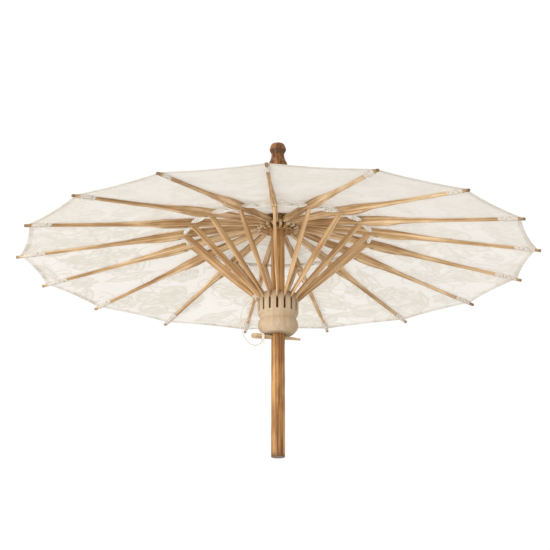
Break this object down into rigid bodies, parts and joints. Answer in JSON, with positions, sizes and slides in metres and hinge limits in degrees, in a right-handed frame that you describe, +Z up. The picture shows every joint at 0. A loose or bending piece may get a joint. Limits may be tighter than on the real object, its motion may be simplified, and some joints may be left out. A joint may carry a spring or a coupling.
{
  "type": "lace parasol",
  "caption": "Open parasol: slotted hub and sliding runner on a wooden shaft, hinged ribs and stretchers, thin lace canopy, turned finial, locking peg on a string.",
  "frame": {"origin": "centre of the shaft's flat lower end", "axes": "+Z up along the shaft toward the finial; the first rib is 2.24 degrees from -Y, turned toward -X"},
  "size_m": [0.6177, 0.6173, 0.388],
  "materials": {
    "shaft_wood": "oiled honey-brown wood",
    "rib_wood": "plain split wood",
    "stretcher_wood": "plain split wood",
    "runner_wood": "pale turned wood, unfinished",
    "hub_wood": "turned wood, unfinished",
    "finial_wood": "dark stained turned wood",
    "peg_wood": "whittled stick",
    "thread": "undyed cotton thread",
    "lace": "thin off-white lace cloth"
  },
  "bodies": {
    "shaft": {"shaft": "shaft_wood", "top_hub": "hub_wood", "finial": "finial_wood", "hub_thread": "thread", "canopy": "lace"},
    "runner": {"runner": "runner_wood", "runner_thread": "thread", "peg_string": "thread"},
    "peg": {"lock_peg": "peg_wood"},
    "rib_01": {"rib_01": "rib_wood", "tie_01": "thread"},
    "stretcher_01": {"stretcher_01": "stretcher_wood"},
    "rib_02": {"rib_02": "rib_wood", "tie_02": "thread"},
    "stretcher_02": {"stretcher_02": "stretcher_wood"},
    "rib_03": {"rib_03": "rib_wood", "tie_03": "thread"},
    "stretcher_03": {"stretcher_03": "stretcher_wood"},
    "rib_04": {"rib_04": "rib_wood", "tie_04": "thread"},
    "stretcher_04": {"stretcher_04": "stretcher_wood"},
    "rib_05": {"rib_05": "rib_wood", "tie_05": "thread"},
    "stretcher_05": {"stretcher_05": "stretcher_wood"},
    "rib_06": {"rib_06": "rib_wood", "tie_06": "thread"},
    "stretcher_06": {"stretcher_06": "stretcher_wood"},
    "rib_07": {"rib_07": "rib_wood", "tie_07": "thread"},
    "stretcher_07": {"stretcher_07": "stretcher_wood"},
    "rib_08": {"rib_08": "rib_wood", "tie_08": "thread"},
    "stretcher_08": {"stretcher_08": "stretcher_wood"},
    "rib_09": {"rib_09": "rib_wood", "tie_09": "thread"},
    "stretcher_09": {"stretcher_09": "stretcher_wood"},
    "rib_10": {"rib_10": "rib_wood", "tie_10": "thread"},
    "stretcher_10": {"stretcher_10": "stretcher_wood"},
    "rib_11": {"rib_11": "rib_wood", "tie_11": "thread"},
    "stretcher_11": {"stretcher_11": "stretcher_wood"},
    "rib_12": {"rib_12": "rib_wood", "tie_12": "thread"},
    "stretcher_12": {"stretcher_12": "stretcher_wood"},
    "rib_13": {"rib_13": "rib_wood", "tie_13": "thread"},
    "stretcher_13": {"stretcher_13": "stretcher_wood"},
    "rib_14": {"rib_14": "rib_wood", "tie_14": "thread"},
    "stretcher_14": {"stretcher_14": "stretcher_wood"},
    "rib_15": {"rib_15": "rib_wood", "tie_15": "thread"},
    "stretcher_15": {"stretcher_15": "stretcher_wood"},
    "rib_16": {"rib_16": "rib_wood", "tie_16": "thread"},
    "stretcher_16": {"stretcher_16": "stretcher_wood"},
    "rib_17": {"rib_17": "rib_wood", "tie_17": "thread"},
    "stretcher_17": {"stretcher_17": "stretcher_wood"}
  },
  "joints": [
    {"name": "runner_slide", "type": "slide", "parent": "shaft", "child": "runner", "axis": [0, 0, -1], "range_m": [0, 0.12132], "deforming": ["canopy", "runner_thread", "peg_string", "lock_peg"]},
    {"name": "rib_01_hinge", "type": "hinge", "parent": "shaft", "child": "rib_01", "pos_m": [-0.0007, -0.01799, 0.2825], "axis": [0.9992, -0.0391, 0], "range_deg": [0, 75.53]},
    {"name": "stretcher_01_hinge", "type": "hinge", "parent": "rib_01", "child": "stretcher_01", "pos_m": [-0.00438, -0.11191, 0.2685], "axis": [-0.9992, 0.0391, 0], "range_deg": [0, 120.36]},
    {"name": "rib_02_hinge", "type": "hinge", "parent": "shaft", "child": "rib_02", "pos_m": [0.00584, -0.01703, 0.2825], "axis": [0.9459, 0.3245, 0], "range_deg": [0, 75.53]},
    {"name": "stretcher_02_hinge", "type": "hinge", "parent": "rib_02", "child": "stretcher_02", "pos_m": [0.03635, -0.10594, 0.2685], "axis": [-0.9459, -0.3245, 0], "range_deg": [0, 120.36]},
    {"name": "rib_03_hinge", "type": "hinge", "parent": "shaft", "child": "rib_03", "pos_m": [0.0116, -0.01377, 0.2825], "axis": [0.7648, 0.6443, 0], "range_deg": [0, 75.53]},
    {"name": "stretcher_03_hinge", "type": "hinge", "parent": "rib_03", "child": "stretcher_03", "pos_m": [0.07216, -0.08565, 0.2685], "axis": [-0.7648, -0.6443, 0], "range_deg": [0, 120.36]},
    {"name": "rib_04_hinge", "type": "hinge", "parent": "shaft", "child": "rib_04", "pos_m": [0.01579, -0.00865, 0.2825], "axis": [0.4804, 0.8771, 0], "range_deg": [0, 75.53]},
    {"name": "stretcher_04_hinge", "type": "hinge", "parent": "rib_04", "child": "stretcher_04", "pos_m": [0.09823, -0.0538, 0.2685], "axis": [-0.4804, -0.8771, 0], "range_deg": [0, 120.36]},
    {"name": "rib_05_hinge", "type": "hinge", "parent": "shaft", "child": "rib_05", "pos_m": [0.01784, -0.00236, 0.2825], "axis": [0.1311, 0.9914, 0], "range_deg": [0, 75.53]},
    {"name": "stretcher_05_hinge", "type": "hinge", "parent": "rib_05", "child": "stretcher_05", "pos_m": [0.11103, -0.01469, 0.2685], "axis": [-0.1311, -0.9914, 0], "range_deg": [0, 120.36]},
    {"name": "rib_06_hinge", "type": "hinge", "parent": "shaft", "child": "rib_06", "pos_m": [0.01749, 0.00424, 0.2825], "axis": [-0.2359, 0.9718, 0], "range_deg": [0, 75.53]},
    {"name": "stretcher_06_hinge", "type": "hinge", "parent": "rib_06", "child": "stretcher_06", "pos_m": [0.10884, 0.02642, 0.2685], "axis": [0.2359, -0.9718, 0], "range_deg": [0, 120.36]},
    {"name": "rib_07_hinge", "type": "hinge", "parent": "shaft", "child": "rib_07", "pos_m": [0.01478, 0.01028, 0.2825], "axis": [-0.571, 0.821, 0], "range_deg": [0, 75.53]},
    {"name": "stretcher_07_hinge", "type": "hinge", "parent": "rib_07", "child": "stretcher_07", "pos_m": [0.09195, 0.06395, 0.2685], "axis": [0.571, -0.821, 0], "range_deg": [0, 120.36]},
    {"name": "rib_08_hinge", "type": "hinge", "parent": "shaft", "child": "rib_08", "pos_m": [0.01007, 0.01492, 0.2825], "axis": [-0.829, 0.5593, 0], "range_deg": [0, 75.53]},
    {"name": "stretcher_08_hinge", "type": "hinge", "parent": "rib_08", "child": "stretcher_08", "pos_m": [0.06264, 0.09285, 0.2685], "axis": [0.829, -0.5593, 0], "range_deg": [0, 120.36]},
    {"name": "rib_09_hinge", "type": "hinge", "parent": "shaft", "child": "rib_09", "pos_m": [0.004, 0.01755, 0.2825], "axis": [-0.975, 0.222, 0], "range_deg": [0, 75.53]},
    {"name": "stretcher_09_hinge", "type": "hinge", "parent": "rib_09", "child": "stretcher_09", "pos_m": [0.02487, 0.1092, 0.2685], "axis": [0.975, -0.222, 0], "range_deg": [0, 120.36]},
    {"name": "rib_10_hinge", "type": "hinge", "parent": "shaft", "child": "rib_10", "pos_m": [-0.00261, 0.01781, 0.2825], "axis": [-0.9894, -0.1452, 0], "range_deg": [0, 75.53]},
    {"name": "stretcher_10_hinge", "type": "hinge", "parent": "rib_10", "child": "stretcher_10", "pos_m": [-0.01626, 0.11081, 0.2685], "axis": [0.9894, 0.1452, 0], "range_deg": [0, 120.36]},
    {"name": "rib_11_hinge", "type": "hinge", "parent": "shaft", "child": "rib_11", "pos_m": [-0.00887, 0.01566, 0.2825], "axis": [-0.8701, -0.4928, 0], "range_deg": [0, 75.53]},
    {"name": "stretcher_11_hinge", "type": "hinge", "parent": "rib_11", "child": "stretcher_11", "pos_m": [-0.05519, 0.09746, 0.2685], "axis": [0.8701, 0.4928, 0], "range_deg": [0, 120.36]},
    {"name": "rib_12_hinge", "type": "hinge", "parent": "shaft", "child": "rib_12", "pos_m": [-0.01393, 0.0114, 0.2825], "axis": [-0.6334, -0.7739, 0], "range_deg": [0, 75.53]},
    {"name": "stretcher_12_hinge", "type": "hinge", "parent": "rib_12", "child": "stretcher_12", "pos_m": [-0.08667, 0.07094, 0.2685], "axis": [0.6334, 0.7739, 0], "range_deg": [0, 120.36]},
    {"name": "rib_13_hinge", "type": "hinge", "parent": "shaft", "child": "rib_13", "pos_m": [-0.01711, 0.0056, 0.2825], "axis": [-0.311, -0.9504, 0], "range_deg": [0, 75.53]},
    {"name": "stretcher_13_hinge", "type": "hinge", "parent": "rib_13", "child": "stretcher_13", "pos_m": [-0.10644, 0.03484, 0.2685], "axis": [0.311, 0.9504, 0], "range_deg": [0, 120.36]},
    {"name": "rib_14_hinge", "type": "hinge", "parent": "shaft", "child": "rib_14", "pos_m": [-0.01797, -0.00096, 0.2825], "axis": [0.0533, -0.9986, 0], "range_deg": [0, 75.53]},
    {"name": "stretcher_14_hinge", "type": "hinge", "parent": "rib_14", "child": "stretcher_14", "pos_m": [-0.11184, -0.00597, 0.2685], "axis": [-0.0533, 0.9986, 0], "range_deg": [0, 120.36]},
    {"name": "rib_15_hinge", "type": "hinge", "parent": "shaft", "child": "rib_15", "pos_m": [-0.01641, -0.00739, 0.2825], "axis": [0.4104, -0.9119, 0], "range_deg": [0, 75.53]},
    {"name": "stretcher_15_hinge", "type": "hinge", "parent": "rib_15", "child": "stretcher_15", "pos_m": [-0.10213, -0.04597, 0.2685], "axis": [-0.4104, 0.9119, 0], "range_deg": [0, 120.36]},
    {"name": "rib_16_hinge", "type": "hinge", "parent": "shaft", "child": "rib_16", "pos_m": [-0.01264, -0.01282, 0.2825], "axis": [0.7121, -0.7021, 0], "range_deg": [0, 75.53]},
    {"name": "stretcher_16_hinge", "type": "hinge", "parent": "rib_16", "child": "stretcher_16", "pos_m": [-0.07863, -0.07976, 0.2685], "axis": [-0.7121, 0.7021, 0], "range_deg": [0, 120.36]},
    {"name": "rib_17_hinge", "type": "hinge", "parent": "shaft", "child": "rib_17", "pos_m": [-0.00715, -0.01652, 0.2825], "axis": [0.9176, -0.3974, 0], "range_deg": [0, 75.53]},
    {"name": "stretcher_17_hinge", "type": "hinge", "parent": "rib_17", "child": "stretcher_17", "pos_m": [-0.04451, -0.10278, 0.2685], "axis": [-0.9176, 0.3974, 0], "range_deg": [0, 120.36]},
    {"name": "peg_swing", "type": "hinge", "parent": "runner", "child": "peg", "pos_m": [-0.02735, -0.00836, 0.1382], "axis": [-0.2924, 0.9563, 0], "range_deg": [0, 88]}
  ],
  "couplings": [
    {"joint": "rib_01_hinge", "follows": "runner_slide", "rad_per_m": 10.866},
    {"joint": "stretcher_01_hinge", "follows": "runner_slide", "rad_per_m": 17.315},
    {"joint": "rib_02_hinge", "follows": "runner_slide", "rad_per_m": 10.866},
    {"joint": "stretcher_02_hinge", "follows": "runner_slide", "rad_per_m": 17.315},
    {"joint": "rib_03_hinge", "follows": "runner_slide", "rad_per_m": 10.866},
    {"joint": "stretcher_03_hinge", "follows": "runner_slide", "rad_per_m": 17.315},
    {"joint": "rib_04_hinge", "follows": "runner_slide", "rad_per_m": 10.866},
    {"joint": "stretcher_04_hinge", "follows": "runner_slide", "rad_per_m": 17.315},
    {"joint": "rib_05_hinge", "follows": "runner_slide", "rad_per_m": 10.866},
    {"joint": "stretcher_05_hinge", "follows": "runner_slide", "rad_per_m": 17.315},
    {"joint": "rib_06_hinge", "follows": "runner_slide", "rad_per_m": 10.866},
    {"joint": "stretcher_06_hinge", "follows": "runner_slide", "rad_per_m": 17.315},
    {"joint": "rib_07_hinge", "follows": "runner_slide", "rad_per_m": 10.866},
    {"joint": "stretcher_07_hinge", "follows": "runner_slide", "rad_per_m": 17.315},
    {"joint": "rib_08_hinge", "follows": "runner_slide", "rad_per_m": 10.866},
    {"joint": "stretcher_08_hinge", "follows": "runner_slide", "rad_per_m": 17.315},
    {"joint": "rib_09_hinge", "follows": "runner_slide", "rad_per_m": 10.866},
    {"joint": "stretcher_09_hinge", "follows": "runner_slide", "rad_per_m": 17.315},
    {"joint": "rib_10_hinge", "follows": "runner_slide", "rad_per_m": 10.866},
    {"joint": "stretcher_10_hinge", "follows": "runner_slide", "rad_per_m": 17.315},
    {"joint": "rib_11_hinge", "follows": "runner_slide", "rad_per_m": 10.866},
    {"joint": "stretcher_11_hinge", "follows": "runner_slide", "rad_per_m": 17.315},
    {"joint": "rib_12_hinge", "follows": "runner_slide", "rad_per_m": 10.866},
    {"joint": "stretcher_12_hinge", "follows": "runner_slide", "rad_per_m": 17.315},
    {"joint": "rib_13_hinge", "follows": "runner_slide", "rad_per_m": 10.866},
    {"joint": "stretcher_13_hinge", "follows": "runner_slide", "rad_per_m": 17.315},
    {"joint": "rib_14_hinge", "follows": "runner_slide", "rad_per_m": 10.866},
    {"joint": "stretcher_14_hinge", "follows": "runner_slide", "rad_per_m": 17.315},
    {"joint": "rib_15_hinge", "follows": "runner_slide", "rad_per_m": 10.866},
    {"joint": "stretcher_15_hinge", "follows": "runner_slide", "rad_per_m": 17.315},
    {"joint": "rib_16_hinge", "follows": "runner_slide", "rad_per_m": 10.866},
    {"joint": "stretcher_16_hinge", "follows": "runner_slide", "rad_per_m": 17.315},
    {"joint": "rib_17_hinge", "follows": "runner_slide", "rad_per_m": 10.866},
    {"joint": "stretcher_17_hinge", "follows": "runner_slide", "rad_per_m": 17.315},
    {"joint": "peg_swing", "follows": "runner_slide", "rad_per_m": 12.66}
  ]
}
